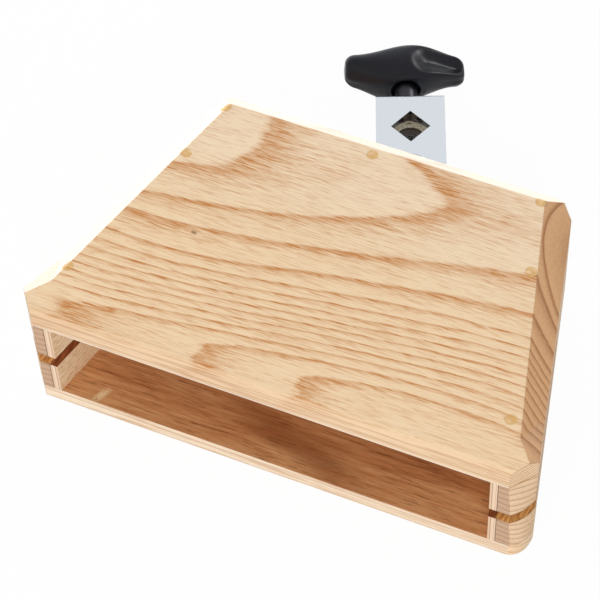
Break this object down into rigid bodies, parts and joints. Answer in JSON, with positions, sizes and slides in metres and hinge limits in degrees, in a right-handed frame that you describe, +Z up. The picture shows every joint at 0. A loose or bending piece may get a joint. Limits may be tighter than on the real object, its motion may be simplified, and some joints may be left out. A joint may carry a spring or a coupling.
{
  "type": "wood block",
  "caption": "Tapered hollow wood block with an open front chamber, side slits and a swivelling rod clamp drawn tight by a wing nut.",
  "frame": {"origin": "middle of the flat underside of the bottom plate, halfway between the open front face and the back face of the block", "axes": "+X to the right seen from the open front, +Y from the open front towards the rod clamp, +Z up out of the struck top face"},
  "size_m": [0.1834, 0.1886, 0.0542],
  "materials": {
    "ash_plate": "satin",
    "ash_block": "satin",
    "ply": "satin",
    "filler": "matte",
    "nail_steel": "satin",
    "zinc_steel": "satin",
    "strap_chrome": "polished",
    "bolt_steel": "satin",
    "black_steel": "satin",
    "black_plastic": "gloss"
  },
  "bodies": {
    "block": {"top_plate": "ash_plate", "bottom_plate": "ash_plate", "left_side": "ash_block", "right_side": "ash_block", "back_block": "ash_block", "left_liner": "ply", "right_liner": "ply", "back_liner": "ply", "top_plugs": "filler", "bottom_plugs": "filler", "top_nails": "nail_steel", "bottom_nails": "nail_steel", "foot_bracket": "zinc_steel", "foot_screws": "zinc_steel"},
    "clamp": {"swivel_rivet": "zinc_steel", "clamp_bracket": "strap_chrome", "flat_washer": "zinc_steel"},
    "eye": {"eye_bolt": "bolt_steel"},
    "nut": {"wing_bush": "black_steel", "wing_nut": "black_plastic"}
  },
  "joints": [
    {"name": "clamp_swivel", "type": "hinge", "parent": "block", "child": "clamp", "pos_m": [0.0011, 0.0707, 0.0105], "axis": [0, 0, 1], "range_deg": [-82.5, 37.5]},
    {"name": "wing_nut_turn", "type": "hinge", "parent": "clamp", "child": "nut", "pos_m": [-0.01332, 0.10312, 0.0105], "axis": [0.4305, -0.9026, 0], "range_deg": [-720, 1080]},
    {"name": "eye_draw", "type": "slide", "parent": "clamp", "child": "eye", "axis": [-0.4305, 0.9026, 0], "range_m": [-0.002, 0.003]}
  ],
  "couplings": [
    {"joint": "eye_draw", "follows": "wing_nut_turn", "m_per_rad": 0.00015915}
  ]
}
